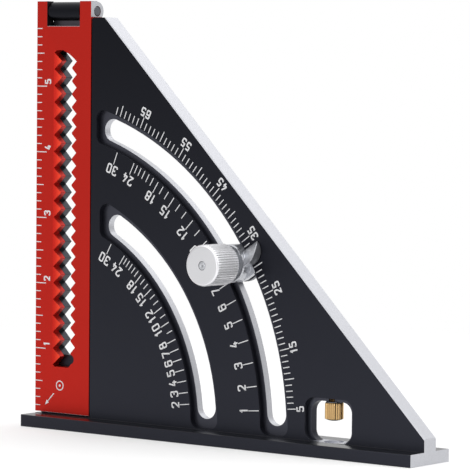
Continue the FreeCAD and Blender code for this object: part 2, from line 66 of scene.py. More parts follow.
# Sizes of the square in mm, as its solids have them. Along the sloping edge x + z is the edge sum.
FENCE_LENGTH = 183.3
EDGE_SUM = 188.1
ARM_WIDTH = 27.4
OUTER_SLOT_RADIUS = 116.707
INNER_SLOT_RADIUS = 84.007
POCKET_HALF_WIDTH = 6.35
# The knob's axis as (x, z), the y of its face, and the thumbscrew's axis as (x, y)
KNOB_AXIS = (98.328, 62.862)
KNOB_FACE_Y = -20.1
SCREW_AXIS = (141.307, 3.6)

# The inch scale has a line each eighth of an inch, longer at the half and at the full inch. Its
# numbers lie on their side: the foot of each is at one x, and its middle a little above its line.
RULER_LINES = 47
INCH_LINE, HALF_INCH_LINE, EIGHTH_LINE = 5.2, 3.7, 2.6
INCH_NUMBER_X, INCH_NUMBER_RISE = 7.3, 1.8

# The arrow that points at the pivot corner: its ends as (x, z), and its head's length and widths.
# Behind it stand a circle and a dot, which is a wide line round a small circle.
ARROW_TAIL, ARROW_TIP = (9.6, 8.2), (5.1, 3.5)
HEAD_LENGTH, HEAD_WIDTH, TIP_WIDTH = 2.0, 1.5, 0.06
CIRCLE_CENTRE, CIRCLE_RADIUS = (12.6, 11.4), 1.75
DOT_RADIUS, DOT_LINE = 0.24, 0.47
MARK_LINE = 0.42

# The radii about the pivot corner where the degree lines end, and where the degree numbers have
# their feet. The first line and its number keep clear of the window's pocket.
DEGREE_LONG, DEGREE_SHORT, DEGREE_FIRST = 127.66, 126.3, 127.1
DEGREE_FOOT, DEGREE_FIRST_FOOT = 131.3, 130.85
# The lines of all three round scales start this far from the pocket of their slot
LINE_GAP = 0.25

# The rises of the rafter scales, in inches: those that have a number, and those with a plain line
NUMBERED_RISES = (1, 2, 3, 4, 5, 6, 7, 8, 10, 12, 15, 18, 24, 30)
PLAIN_RISES = (9, 11, 13, 14, 16, 17, 19, 20, 21, 22, 23)
# Each rafter scale has a name, its run in inches, the radius of its slot, its first rise, and the radii
# of its numbered lines' ends, its plain lines' ends and its numbers' feet
RAFTER_SCALES = (
    ("common", 12, OUTER_SLOT_RADIUS, 1, 105.2, 106.7, 105.0),
    ("hip", 17, INNER_SLOT_RADIUS, 2, 72.9, 74.5, 72.7),
)

# The thumbscrew in mm: its two ends, its head with the dome below, its ribbed grip, and its thread
SCREW_LOW, SCREW_HIGH = 7.7, 29.8
HEAD_RADIUS, HEAD_TOP, DOME_HEIGHT = 3.4, 14.4, 0.8
GRIP_LOW, GRIP_HIGH = 8.6, 14.0
GRIP_RIBS, GRIP_DEPTH = 24, 0.22
THREAD_RADIUS, THREAD_DEPTH, THREAD_PITCH = 2.0, 0.38, 0.7

# The knob in mm: its face, its ribbed barrel, the hub behind it, its bore, and the hole in its face
# with the bolt's tip in it
FACE_RADIUS, FACE_THICKNESS = 6.95, 2.4
BARREL_RADIUS, BARREL_LENGTH = 7.6, 12.7
KNOB_RIBS, KNURL_DEPTH = 50, 0.3
HUB_RADIUS, KNOB_LENGTH = 4.5, 14.8
BORE_RADIUS, HOLE_RADIUS = 2.05, 1.65
TIP_RADIUS, TIP_LENGTH = 1.6, 2.3


def linear(code):
    """An sRGB hex colour as linear red, green and blue: ((c + 0.055) / 1.055) ^ 2.4 above 0.04045."""
    parts = np.array([int(code[k:k + 2], 16) for k in (0, 2, 4)]) / 255
    bright = ((parts + 0.055) / 1.055) ** 2.4
    return tuple(float(v) for v in np.where(parts <= 0.04045, parts / 12.92, bright))


def number(name, text, default, unit="NONE"):
    """A setting that holds one number, never under zero."""
    return bpy.props.FloatProperty(name=name, description=text, default=default, min=0, unit=unit)


def colour(name, text, code):
    """A setting that holds a colour, given as sRGB hex."""
    return bpy.props.FloatVectorProperty(
        name=name, description=text, default=linear(code), size=3, min=0, max=1, subtype="COLOR")


class SquareMarks(bpy.types.PropertyGroup):
    """Sizes of the marked lines and numbers, in metres."""
    line_width: number("Line width", "Width of every scale line", 0.36 * MM, "LENGTH")
    proud: number("Proud", "How far the marks stand out of the face", 0.015 * MM, "LENGTH")
    sunk: number("Sunk", "How far the marks reach into the metal", 0.02 * MM, "LENGTH")
    stroke: number("Stroke", "Width of a number's strokes", 0.6 * MM, "LENGTH")
    ruler_height: number("Ruler numbers", "Height of the inch numbers", 3.25 * MM, "LENGTH")
    degree_height: number("Degree numbers", "Height of the degree numbers", 3.5 * MM, "LENGTH")
    rafter_height: number("Rafter numbers", "Height of the rafter numbers", 3.85 * MM, "LENGTH")


class SquareFinishes(bpy.types.PropertyGroup):
    """Colours of the metals."""
    black: colour("Black anodised", "Dyed black aluminium of the body", "25262c")
    red: colour("Red anodised", "Dyed red aluminium of the arm", "b41c10")
    bare: colour("Bare aluminium", "Milled aluminium of the edges", "c5c6cb")
    knob: colour("Knob", "Bright turned aluminium of the knob", "f0f0f3")
    mark: colour("Marks", "Laser marked lines and numbers", "e4e4e6")
    brass: colour("Brass", "Turned brass of the thumbscrew", "dcb67e")
    steel: colour("Steel", "Bright steel of the washers", "b9bbbf")
    pin: colour("Pin steel", "Dark oiled steel of the pin and the bolt", "6c6e74")


class SquareStudio(bpy.types.PropertyGroup):
    """The studio round the square."""
    floor_size: number("Floor", "Radius of the floor", 6.0, "LENGTH")
    horizon: number("Horizon", "Brightness of the sky at the horizon", 0.62)
    zenith: number("Zenith", "Brightness of the sky overhead", 1.3)
    key_power: number("Key light", "Power of the large soft light overhead", 6.0, "POWER")
    side_power: number("Side light", "Power of the soft light at the right", 2.0, "POWER")
    front_power: number("Front light", "Power of the small soft light in front", 1.0, "POWER")


def feed(tree, node, inputs):
    """Gives inputs of a node a value or a link, each by its name or its number. On a Mix node the
    inputs 2 and 3 take numbers, 4 and 5 take colours, and the outputs 0 and 1 give them."""
    for key, value in inputs.items():
        if isinstance(value, bpy.types.NodeSocket):
            tree.links.new(value, node.inputs[key])
        else:
            node.inputs[key].default_value = value


def add(tree, kind, inputs=None, **attributes):
    """Adds a node, sets its attributes, and gives each input a value or a link."""
    node = tree.nodes.new(kind)
    for key, value in attributes.items():
        setattr(node, key, value)
    feed(tree, node, inputs or {})
    return node


def new_material(name):
    """An empty material with a Principled shader: the material, its tree, the shader and the place
    of a point on the piece."""
    material = bpy.data.materials.new(name)
    material.use_nodes = True
    tree = material.node_tree
    tree.nodes.clear()
    shader = add(tree, "ShaderNodeBsdfPrincipled")
    add(tree, "ShaderNodeOutputMaterial", {"Surface": shader.outputs[0]})
    return material, tree, shader, add(tree, "ShaderNodeTexCoord").outputs["Object"]


def new_object(name, data):
    """An object in the scene that holds a mesh, a light or a camera."""
    thing = bpy.data.objects.new(name, data)
    bpy.context.scene.collection.objects.link(thing)
    return thing


def put_mesh(name, points, faces, material, body):
    """A piece from points in millimetres and faces of one size, riding on a body. The faces are
    turned over where the volume that they enclose comes out negative, so that they point outwards."""
    corners = np.asarray(points, float)
    faces = np.asarray(faces, int)
    fan = [faces[:, [0, k, k + 1]] for k in range(1, faces.shape[1] - 1)]
    a, b, c = (corners[np.concatenate(fan)[:, k]] for k in range(3))
    if np.einsum("ij,ij->i", a, np.cross(b, c)).sum() < 0:
        faces = faces[:, ::-1]
    mesh = bpy.data.meshes.new(name)
    mesh.vertices.add(len(corners))
    mesh.vertices.foreach_set("co", (corners * MM).ravel())
    mesh.loops.add(faces.size)
    mesh.loops.foreach_set("vertex_index", faces.ravel())
    mesh.polygons.add(len(faces))
    mesh.polygons.foreach_set("loop_start", np.arange(0, faces.size, faces.shape[1]))
    mesh.update(calc_edges=True)
    mesh.validate()
    mesh.materials.append(material)
    piece = new_object(name, mesh)
    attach(piece, body)
    return piece


def ribbon(path, width, low, high, closed=False):
    """A flat strip along a path in the plane of its face: at each path point the strip reaches
    half the width to both sides along the mean normal of its two runs, and from low to high
    in height. Returns points (u, v, height) and four-sided faces, with its ends closed."""
    path = np.asarray(path, float)
    run = np.roll(path, -1, 0) - path
    if not closed:
        run[-1] = run[-2]
    run /= np.linalg.norm(run, axis=1)[:, None]
    before = np.roll(run, 1, 0)
    if not closed:
        before[0] = run[0]
    mean = run + before
    mean /= np.linalg.norm(mean, axis=1)[:, None]
    # A mitre reaches out farther the sharper the turn is, but never past twice the half width
    reach = width / 2 / np.maximum(np.einsum("ij,ij->i", mean, run), 0.5)
    side = np.stack([-mean[:, 1], mean[:, 0]], 1) * reach[:, None]
    n = len(path)
    ring = np.empty((n, 4, 3))
    ring[:, 0, :2] = ring[:, 3, :2] = path - side
    ring[:, 1, :2] = ring[:, 2, :2] = path + side
    ring[:, :2, 2] = low
    ring[:, 2:, 2] = high
    first = np.arange(n if closed else n - 1)[:, None] * 4
    second = (first + 4) % (4 * n)
    k = np.arange(4)[None, :]
    nxt = (k + 1) % 4
    faces = np.stack([first + k, first + nxt, second + nxt, second + k], 2).reshape(-1, 4)
    if not closed:
        last = 4 * (n - 1)
        faces = np.concatenate([faces, [[3, 2, 1, 0]], [[last, last + 1, last + 2, last + 3]]])
    return ring.reshape(-1, 3), faces


def rounded(corners, radius, closed):
    """A path through corners, each cut back by the radius, or by a little under half a shorter run,
    and joined by a quadratic curve of five points."""
    n = len(corners)
    path = []
    t = np.linspace(0, 1, 5)[:, None]
    for k in range(n):
        if not closed and k in (0, n - 1):
            path.append(corners[k][None])
            continue
        here = corners[k]
        back = corners[k - 1] - here
        ahead = corners[(k + 1) % n] - here
        cut = min(radius, np.linalg.norm(back) * 0.48, np.linalg.norm(ahead) * 0.48)
        a = here + back / np.linalg.norm(back) * cut
        b = here + ahead / np.linalg.norm(ahead) * cut
        path.append((1 - t) ** 2 * a + 2 * t * (1 - t) * here + t ** 2 * b)
    return np.concatenate(path)


def gather(parts):
    """Several meshes of points and faces as one."""
    points, faces, count = [], [], 0
    for p, f in parts:
        points.append(p)
        faces.append(f + count)
        count += len(p)
    return np.concatenate(points), np.concatenate(faces)


def lines_mesh(ends, width, low, high):
    """Straight scale lines as thin bars: each is a strip from its first end to its second."""
    return gather([ribbon(pair, width, low, high) for pair in ends])


def on_face(points, origin=(0, 0), right=(1, 0), up=(0, 1)):
    """Points (u, v, height) laid on the front face: origin + u right + v up, height towards the front."""
    flat = np.asarray(origin, float) + points[:, :1] * right + points[:, 1:2] * up
    return np.stack([flat[:, 0], -points[:, 2], flat[:, 1]], 1)


# Each digit's strokes on a field one wide and one high, and whether a stroke is closed
DIGITS = {
    "0": [([(0, 0), (1, 0), (1, 1), (0, 1)], True)],
    "1": [([(0, 0.7), (0.62, 1.02)], False), ([(0.62, 1.09), (0.62, -0.09)], False)],
    "2": [([(0, 0.74), (0, 1), (1, 1), (1, 0.58), (0, 0)], False), ([(-0.12, 0), (1.1, 0)], False)],
    "3": [([(0, 0.78), (0, 1), (1, 1), (1, 0.53), (0.35, 0.53)], False),
          ([(1, 0.6), (1, 0), (0, 0), (0, 0.22)], False)],
    "4": [([(0.62, 1.05), (0, 0.24)], False), ([(-0.1, 0.24), (1.12, 0.24)], False),
          ([(0.72, 0.52), (0.72, -0.09)], False)],
    "5": [([(0.98, 1), (-0.12, 1)], False), ([(0.02, 1), (0.02, 0.5)], False),
          ([(0, 0.57), (1, 0.57), (1, 0), (0, 0), (0, 0.2)], False)],
    "6": [([(1, 0.8), (1, 1), (0, 1), (0, 0), (1, 0), (1, 0.5)], False),
          ([(1.12, 0.57), (0, 0.57)], False)],
    "7": [([(-0.12, 1), (1.12, 1)], False), ([(1, 1), (0.34, -0.09)], False)],
    "8": [([(0, 0), (1, 0), (1, 0.53), (0, 0.53)], True),
          ([(0.06, 0.53), (0.94, 0.53), (0.94, 1), (0.06, 1)], True)],
    "9": [([(0, 0.2), (0, 0), (1, 0), (1, 1), (0, 1), (0, 0.43)], False),
          ([(0, 0.43), (1, 0.43)], False)],
}
# As shares of a number's height: the width of a digit and of a one, the step from one digit to the
# next, and how far a corner is cut back
DIGIT_WIDTH = 0.6
ONE_WIDTH = 0.42
DIGIT_STEP = 0.76
DIGIT_CORNER = 0.13
# Strokes that cross lie this much over each other, in mm
STROKE_LIFT = 0.004


def number_strokes(text, height, stroke):
    """The strokes of a number, centred on u = 0 and standing on v = 0."""
    widths = [height * (ONE_WIDTH if c == "1" else DIGIT_WIDTH) for c in text]
    gap = height * (DIGIT_STEP - DIGIT_WIDTH)
    left = -(sum(widths) + gap * (len(text) - 1)) / 2
    strokes = []
    for c, width in zip(text, widths):
        for corners, closed in DIGITS[c]:
            field = np.asarray(corners, float) * (width - stroke, height - stroke)
            path = rounded(field, height * DIGIT_CORNER, closed) + (left + stroke / 2, stroke / 2)
            strokes.append((path, closed))
        left += width + gap
    return strokes


def mark_sizes():
    """The bottom and top of the marks, and the widths of a line and of a number's stroke, in mm."""
    marks = bpy.context.scene.square_marks
    return -marks.sunk / MM, marks.proud / MM, marks.line_width / MM, marks.stroke / MM


def marked_number(text, height, origin, right, up):
    """A number's strips on the front face, standing on a point in the directions right and up."""
    low, high, _, stroke = mark_sizes()
    strips = []
    for k, (path, closed) in enumerate(number_strokes(text, height, stroke)):
        points, faces = ribbon(path, stroke, low, high + k * STROKE_LIFT, closed)
        strips.append((on_face(points, origin, right, up), faces))
    return strips


def mark_scale(name, degrees, inner, outer, labels, height):
    """A scale about the pivot corner: lines at some angles between two radii, and numbers, each at
    its own angle, with its top towards the corner and its foot on its own radius."""
    low, high, width, _ = mark_sizes()
    turn = np.radians(degrees)
    way = np.stack([np.cos(turn), np.sin(turn)], 1)
    ends = np.stack([way * np.asarray(inner)[:, None], way * np.asarray(outer)[:, None]], 1)
    points, faces = lines_mesh(ends, width, low, high)
    put_mesh(name + "_lines", on_face(points), faces, FINISH["mark"], "square")
    strips = []
    for text, angle, foot in labels:
        turn = np.radians(angle)
        right = np.array([-np.sin(turn), np.cos(turn)])
        up = -np.array([np.cos(turn), np.sin(turn)])
        strips += marked_number(text, height, -up * foot, right, up)
    points, faces = gather(strips)
    put_mesh(name + "_numbers", points, faces, FINISH["mark"], "square")


def turned_round(profile, around, ribs=0):
    """A closed surface turned about the knob's axis. Each row of the profile gives the distance
    behind the knob's face, the radius and the depth of the grooves; between straight ribs the
    radius falls by that depth in a narrow V. The last row joins the first."""
    back, radius, depth = (np.asarray(profile, float)[:, k:k + 1] for k in range(3))
    t = np.arange(around) / around
    groove = np.clip(1 - 2 * np.abs(2 * ((ribs * t) % 1) - 1), 0, 1)
    r = radius - depth * groove[None]
    x = KNOB_AXIS[0] + r * np.cos(2 * math.pi * t)
    z = KNOB_AXIS[1] + r * np.sin(2 * math.pi * t)
    grid = np.stack([x, KNOB_FACE_Y + back + 0 * x, z], 2).reshape(-1, 3)
    k = np.arange(len(grid))
    nxt = k - k % around + (k + 1) % around
    return grid, np.stack([k, nxt, nxt + around, k + around], 1) % len(grid)


def thumbscrew_rows():
    """The thumbscrew's profile from its domed end up: rows of height, radius, rib depth and thread
    depth. The dome is part of a ball, and its ribs grow to their depth over the last half mm."""
    ball = (HEAD_RADIUS ** 2 + DOME_HEIGHT ** 2) / (2 * DOME_HEIGHT)
    r = np.linspace(0.3, HEAD_RADIUS, 14)
    z = SCREW_LOW + ball - np.sqrt(ball ** 2 - r ** 2)
    dome = np.stack([z, r, np.clip((r - HEAD_RADIUS + 0.5) / 0.5, 0, 1) * GRIP_DEPTH, 0 * r], 1)
    grip = np.array([[z, HEAD_RADIUS, GRIP_DEPTH, 0] for z in np.linspace(GRIP_LOW, GRIP_HIGH, 12)])
    chamfer = np.array([
        [HEAD_TOP - 0.15, HEAD_RADIUS - 0.1, 0.2, 0], [HEAD_TOP, HEAD_RADIUS - 0.3, 0.1, 0],
        [HEAD_TOP, 2.6, 0, 0], [HEAD_TOP, THREAD_RADIUS, 0, 0]])
    z = np.arange(HEAD_TOP + THREAD_PITCH / 10, SCREW_HIGH - 0.1, THREAD_PITCH / 10)
    thread = np.stack([z, 0 * z + THREAD_RADIUS, 0 * z, 0 * z + THREAD_DEPTH], 1)
    end = np.array([[SCREW_HIGH, 1.6, 0, 0]])
    return np.concatenate([dome, grip, chamfer, thread, end])


def fine_grain(tree, place, size_mm, low, high):
    """A noise of grains of a given size, spread over a range of values."""
    noise = add(tree, "ShaderNodeTexNoise", {
        "Vector": place, "Scale": 1 / (size_mm * MM), "Detail": 2.0})
    return add(tree, "ShaderNodeMapRange", {
        "Value": noise.outputs[0], "From Min": 0.3, "From Max": 0.7,
        "To Min": low, "To Max": high}).outputs[0]


def in_boxes(tree, place, boxes):
    """A mask that is one inside any of some boxes, each given by two corners in mm: inside a box,
    the distance past its walls is negative along all three axes."""
    mask = 0.0
    for low, high in boxes:
        middle = tuple((a + b) / 2 * MM for a, b in zip(low, high))
        half = tuple((b - a) / 2 * MM for a, b in zip(low, high))
        off = add(tree, "ShaderNodeVectorMath", {0: place, 1: middle}, operation="SUBTRACT")
        size = add(tree, "ShaderNodeVectorMath", {0: off.outputs[0]}, operation="ABSOLUTE")
        past = add(tree, "ShaderNodeVectorMath", {0: size.outputs[0], 1: half}, operation="SUBTRACT")
        x, y, z = add(tree, "ShaderNodeSeparateXYZ", {0: past.outputs[0]}).outputs
        worst = add(tree, "ShaderNodeMath", {0: x, 1: y}, operation="MAXIMUM")
        worst = add(tree, "ShaderNodeMath", {0: worst.outputs[0], 1: z}, operation="MAXIMUM")
        inside = add(tree, "ShaderNodeMath", {0: worst.outputs[0], 1: 0.0}, operation="LESS_THAN")
        both = add(tree, "ShaderNodeMath", {0: mask, 1: inside.outputs[0]}, operation="MAXIMUM")
        mask = both.outputs[0]
    return mask


def from_axis(tree, place, axis, keep):
    """The distance from an axis that passes through a point in mm: keep is one in the two directions
    that are measured and zero along the axis."""
    point = tuple(v * MM for v in axis)
    away = add(tree, "ShaderNodeVectorMath", {0: place, 1: point}, operation="SUBTRACT")
    flat = add(tree, "ShaderNodeVectorMath", {0: away.outputs[0], 1: keep}, operation="MULTIPLY")
    return add(tree, "ShaderNodeVectorMath", {0: flat.outputs[0]}, operation="LENGTH").outputs["Value"]


# Where the body is milled after it is anodised: the fence's two ends and the walls of the arc slots,
# each a box in mm. The sloping edge is bare as far in as this change of x + z.
BODY_BARE = (
    ((FENCE_LENGTH - 0.06, -20, -10), (FENCE_LENGTH + 1, 20, 10)),
    ((-1, -20, -10), (0.06, 20, 0.05)),
    ((28.5, 2.08, 0.5), (125, 5.12, 125)),
)
SLOPE_BARE = 0.62
# Where the body is drawn in another tone, as boxes in mm with an sRGB colour: most of them are painted
# light and painted shade, the fence's top is drawn a little darker, and the hole is bare metal with a
# painted highlight
BODY_TONES_AND_PAINTED_LIGHT = (
    # The pockets of the arc slots and of the window, painted lighter than the face for the light that
    # catches their walls and edges
    (((28.5, 0.04, 0.2), (160, 2.07, 125)), "44454d"),
    # The toothed walls of the web behind the arm: bare metal, painted dark grey for the shade deep in the
    # narrow slot
    (((8, 3.65, 22), (21, 7.15, 141)), "383a40"),
    # The window's floor: a painted reflection, pale for the bright room that it mirrors
    (((131, 0.1, 0.05), (152, 7.1, 0.15)), "c0c2cc"),
    # The front of the web below the hinge, seen between the prongs, painted lighter to lift the shade that
    # falls there
    (((4, 3.55, 150.2), (22, 3.65, 153)), "4a464c"),
    # The left side of the window's pocket, painted lighter for the light that falls on it
    (((129, 0.04, 0.2), (134, 2.07, 17)), "4a4c54"),
    # The top of the fence in front of the plate
    (((0, -8.5, -0.1), (183.2, -0.02, 0.06)), "2b2c32"),
    # The hole in the fence under the thumbscrew: bare drilled metal, drawn paler than the milled edges as
    # a painted highlight for the glints on its rim
    (((137.3, -0.2, -4.5), (145.3, 7.4, 0.04)), "e4e5ec"),
)
# The clear film on the fence's top, which mirrors the light that comes low through the window
FENCE_FILM = ((0, -9, -0.1), (183.2, 16, 0.15))
# On the arm: the left prong's inner side, bare metal painted dark for the shade that falls on it, the
# sloping faces of the teeth, painted with a highlight that grows toward their tips, and what is milled
# bare: the right prong's side, the shoulder between the prongs, the tops of both, and the arm's foot
PRONG_SIDE = ((5.0, -1, 150.2), (5.2, 9, 170))
TOOTH_FACES = ((8.45, 0.02, 18.5), (12.1, 0.9, 142))
TOOTH_ROOT, TOOTH_TIP = 8.9, 11.8
ARM_BARE = (
    ((ARM_WIDTH - 0.05, -1, 153.6), (ARM_WIDTH + 1, 9, 170)),
    ((5.2, -1, 150.05), (21.6, 9, 150.25)),
    ((-1, -1, 159.65), (ARM_WIDTH + 1, 9, 170)),
    ((-1, -1, 0), (ARM_WIDTH + 1, 9, 0.8)),
)
# On the knob: a box round its ribbed barrel, the radii over which the painted shade in a groove gives way
# to bright metal, the radius where the painted highlight of the face's chamfer starts, and the step of the
# turned rings
BARREL_BOX = ((80, -19.5, 40), (120, -7.42, 90))
KNURL_LOW, KNURL_HIGH = 7.3, 7.44
CHAMFER_RADIUS = 6.97
TURNING_STEP = 0.35


def black_anodised(black, bare):
    """Aluminium, blasted fine and anodised black, then milled bare along its edges: a deep satin
    black with the metal's shine under it, and a silver edge."""
    material, tree, shader, place = new_material("black_anodised_aluminium")
    across = add(tree, "ShaderNodeVectorMath", {0: place, 1: (1, 0, 1)}, operation="DOT_PRODUCT")
    slope = add(tree, "ShaderNodeMath", {
        0: across.outputs["Value"], 1: (EDGE_SUM - SLOPE_BARE) * MM}, operation="GREATER_THAN")
    mask = add(tree, "ShaderNodeMath", {
        0: slope.outputs[0], 1: in_boxes(tree, place, BODY_BARE)}, operation="MAXIMUM").outputs[0]
    # Painted light: the black is drawn lighter toward the fence and darker toward the top, for the glow of
    # the white floor that the face mirrors
    height = add(tree, "ShaderNodeSeparateXYZ", {0: place}).outputs[2]
    fade = add(tree, "ShaderNodeMapRange", {
        "Value": height, "From Min": -5 * MM, "From Max": 155 * MM, "To Min": 1.55, "To Max": 0.65})
    # The blasted grain and the mill's marks are finer on the metal, and drawn coarser so that they show
    grain = fine_grain(tree, place, 0.12, 0.85, 1.15)
    milled = fine_grain(tree, place, 0.35, 0.92, 1.05)
    level = add(tree, "ShaderNodeMath", {0: grain, 1: fade.outputs[0]}, operation="MULTIPLY")
    dyed = add(tree, "ShaderNodeVectorMath", {0: black, "Scale": level.outputs[0]}, operation="SCALE")
    silver = add(tree, "ShaderNodeVectorMath", {0: bare, "Scale": milled}, operation="SCALE")
    skin = dyed.outputs[0]
    # Lays each tone over the dyed black: most of them are painted light and painted shade
    for box, code in BODY_TONES_AND_PAINTED_LIGHT:
        skin = add(tree, "ShaderNodeMix", {
            "Factor": in_boxes(tree, place, (box,)), 4: skin, 5: linear(code)},
            data_type="VECTOR").outputs[1]
    tone = add(tree, "ShaderNodeMix", {
        "Factor": mask, 4: skin, 5: silver.outputs[0]}, data_type="VECTOR")
    rough = add(tree, "ShaderNodeMapRange", {"Value": mask, "To Min": 0.36, "To Max": 0.42})
    film = add(tree, "ShaderNodeMath", {
        0: in_boxes(tree, place, (FENCE_FILM,)), 1: 0.6}, operation="MULTIPLY")
    bump = add(tree, "ShaderNodeBump", {"Height": grain, "Strength": 0.25, "Distance": 0.01 * MM})
    feed(tree, shader, {
        "Base Color": tone.outputs[1], "Metallic": 1.0, "Roughness": rough.outputs[0],
        "Coat Weight": film.outputs[0], "Coat Roughness": 0.2, "Normal": bump.outputs[0]})
    return material


def red_anodised(red, bare):
    """Aluminium, blasted fine and anodised red: the dye lets the metal shine through, so the red is
    deep and satin."""
    material, tree, shader, place = new_material("red_anodised_aluminium")
    # The blasted grain is finer on the metal, and drawn coarser so that it shows
    grain = fine_grain(tree, place, 0.15, 0.9, 1.1)
    dyed = add(tree, "ShaderNodeVectorMath", {0: red, "Scale": grain}, operation="SCALE")
    # Painted highlight: the teeth's sloping faces turn a lighter orange red toward their tips, where they
    # catch the light; thin holds this highlight
    across = add(tree, "ShaderNodeSeparateXYZ", {0: place}).outputs[0]
    tips = add(tree, "ShaderNodeMapRange", {
        "Value": across, "From Min": TOOTH_ROOT * MM, "From Max": TOOTH_TIP * MM},
        interpolation_type="SMOOTHSTEP")
    thin = add(tree, "ShaderNodeMath", {
        0: in_boxes(tree, place, (TOOTH_FACES,)), 1: tips.outputs[0]}, operation="MULTIPLY").outputs[0]
    skin = dyed.outputs[0]
    # Over the dye go the painted highlight of the teeth and the painted shade of the left prong's inner
    # side
    for mask, code in ((thin, "d83c24"), (in_boxes(tree, place, (PRONG_SIDE,)), "2c2628")):
        skin = add(tree, "ShaderNodeMix", {
            "Factor": mask, 4: skin, 5: linear(code)}, data_type="VECTOR").outputs[1]
    tone = add(tree, "ShaderNodeMix", {
        "Factor": in_boxes(tree, place, ARM_BARE), 4: skin, 5: bare}, data_type="VECTOR")
    bump = add(tree, "ShaderNodeBump", {"Height": grain, "Strength": 0.25, "Distance": 0.01 * MM})
    feed(tree, shader, {
        "Base Color": tone.outputs[1], "Metallic": 0.8, "Roughness": 0.4, "Normal": bump.outputs[0]})
    return material


def laser_mark(mark):
    """The dye burnt out of the anodised skin by a laser: a dull, pale, slightly speckled grey. Its
    specks are finer on the metal, and drawn coarser so that they show."""
    material, tree, shader, place = new_material("laser_mark")
    specks = fine_grain(tree, place, 0.1, 0.82, 1.0)
    tone = add(tree, "ShaderNodeVectorMath", {0: mark, "Scale": specks}, operation="SCALE")
    feed(tree, shader, {"Base Color": tone.outputs[0], "Roughness": 0.6})
    return material


def knurled_aluminium(bare):
    """Turned aluminium with a straight knurl, with painted shade in its grooves and a painted highlight on
    its face's chamfer: bright, with a soft sheen round the rings that the lathe's tool left on the face."""
    material, tree, shader, place = new_material("turned_aluminium")
    away = from_axis(tree, place, (KNOB_AXIS[0], 0, KNOB_AXIS[1]), (1, 0, 1))
    # Painted shade: the knurl's grooves are drawn darker the deeper they go
    groove = add(tree, "ShaderNodeMapRange", {
        "Value": away, "From Min": KNURL_LOW * MM, "From Max": KNURL_HIGH * MM,
        "To Min": 0.38, "To Max": 0.94})
    barrel = in_boxes(tree, place, (BARREL_BOX,))
    # Painted highlight: the face is drawn darker than the chamfer round it, which stays bright
    rim = add(tree, "ShaderNodeMath", {0: away, 1: CHAMFER_RADIUS * MM}, operation="GREATER_THAN")
    face = add(tree, "ShaderNodeMapRange", {"Value": rim.outputs[0], "To Min": 0.77, "To Max": 1.0})
    level = add(tree, "ShaderNodeMix", {"Factor": barrel, 2: face.outputs[0], 3: groove.outputs[0]})
    tone = add(tree, "ShaderNodeVectorMath", {0: bare, "Scale": level.outputs[0]}, operation="SCALE")
    # The tool's rings are under 0.1 mm apart on the metal, and drawn coarser so that they show
    rings = add(tree, "ShaderNodeMath", {
        0: away, 1: 2 * math.pi / (TURNING_STEP * MM)}, operation="MULTIPLY")
    wave = add(tree, "ShaderNodeMath", {0: rings.outputs[0]}, operation="SINE")
    bump = add(tree, "ShaderNodeBump", {
        "Height": wave.outputs[0], "Strength": 0.3, "Distance": 0.01 * MM})
    # The grooves of the knurl scatter the light, which a little less metallic shine stands for
    dull = add(tree, "ShaderNodeMapRange", {"Value": barrel, "To Min": 0.9, "To Max": 0.55})
    feed(tree, shader, {
        "Base Color": tone.outputs[0], "Metallic": dull.outputs[0], "Roughness": 0.32,
        "Normal": bump.outputs[0]})
    return material


def ribbed_brass(brass):
    """Turned brass with a ribbed head, with painted shade in its grooves: a warm yellow shine. The domed
    end is painted darker, for the shade of the window that falls on it."""
    material, tree, shader, place = new_material("turned_brass")
    away = from_axis(tree, place, (*SCREW_AXIS, 0), (1, 1, 0))
    # Painted shade: the grooves between the ribs are drawn darker the deeper they go
    groove = add(tree, "ShaderNodeMapRange", {
        "Value": away, "From Min": (HEAD_RADIUS - GRIP_DEPTH) * MM,
        "From Max": (HEAD_RADIUS - 0.1) * MM, "To Min": 0.3, "To Max": 1.0})
    # Painted shade: below the grip the domed end is drawn darker
    height = add(tree, "ShaderNodeSeparateXYZ", {0: place}).outputs[2]
    grip = add(tree, "ShaderNodeMapRange", {
        "Value": height, "From Min": (GRIP_LOW - 0.4) * MM, "From Max": GRIP_LOW * MM,
        "To Min": 0.35, "To Max": 1.0})
    level = add(tree, "ShaderNodeMath", {0: groove.outputs[0], 1: grip.outputs[0]}, operation="MULTIPLY")
    tone = add(tree, "ShaderNodeVectorMath", {0: brass, "Scale": level.outputs[0]}, operation="SCALE")
    feed(tree, shader, {"Base Color": tone.outputs[0], "Metallic": 1.0, "Roughness": 0.32})
    return material


def cast_aluminium(grey):
    """Die cast aluminium, tumbled smooth: a soft grey shine with gentle unevenness."""
    material, tree, shader, place = new_material("tumbled_cast_aluminium")
    grain = fine_grain(tree, place, 0.6, 0.85, 1.1)
    tone = add(tree, "ShaderNodeVectorMath", {0: grey, "Scale": grain}, operation="SCALE")
    bump = add(tree, "ShaderNodeBump", {"Height": grain, "Strength": 0.3, "Distance": 0.02 * MM})
    feed(tree, shader, {
        "Base Color": tone.outputs[0], "Metallic": 0.9, "Roughness": 0.34, "Normal": bump.outputs[0]})
    return material


def turned_metal(name, tint, roughness):
    """A turned metal: an even shine, with a little unevenness from the lathe."""
    material, tree, shader, place = new_material(name)
    rough = fine_grain(tree, place, 0.5, roughness * 0.8, roughness * 1.2)
    feed(tree, shader, {"Base Color": (*tint, 1.0), "Metallic": 1.0, "Roughness": rough})
    return material


FINISH = {}


